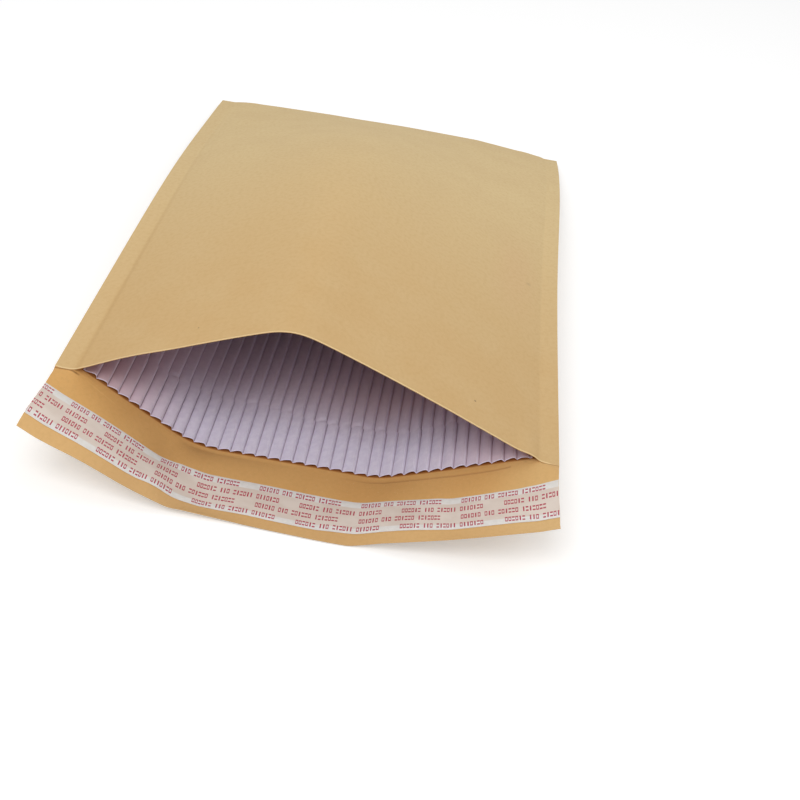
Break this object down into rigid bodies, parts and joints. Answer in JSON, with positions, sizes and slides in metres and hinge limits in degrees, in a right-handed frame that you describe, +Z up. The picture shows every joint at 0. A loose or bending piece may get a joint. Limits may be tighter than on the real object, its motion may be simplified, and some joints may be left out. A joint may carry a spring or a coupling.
{
  "type": "padded envelope",
  "caption": "Kraft mailing envelope lined with fluted white paper, mouth open, sealing flap folded out with a release liner over its adhesive.",
  "frame": {"origin": "under the middle of the whole envelope, on the surface that it lies on", "axes": "+X across the envelope to its right side, +Y from the mouth to the far fold, +Z up"},
  "size_m": [0.2664, 0.4538, 0.0753],
  "materials": {
    "kraft": "matt brown kraft paper with fine fibres",
    "lining": "matt white fluted paper",
    "adhesive": "tacky translucent pressure-sensitive adhesive",
    "liner": "satin siliconised paper with rows of small red marks"
  },
  "bodies": {
    "root": {"kraft_shell": "kraft", "fluted_lining": "lining", "adhesive_band": "adhesive", "release_liner": "liner"}
  },
  "joints": []
}
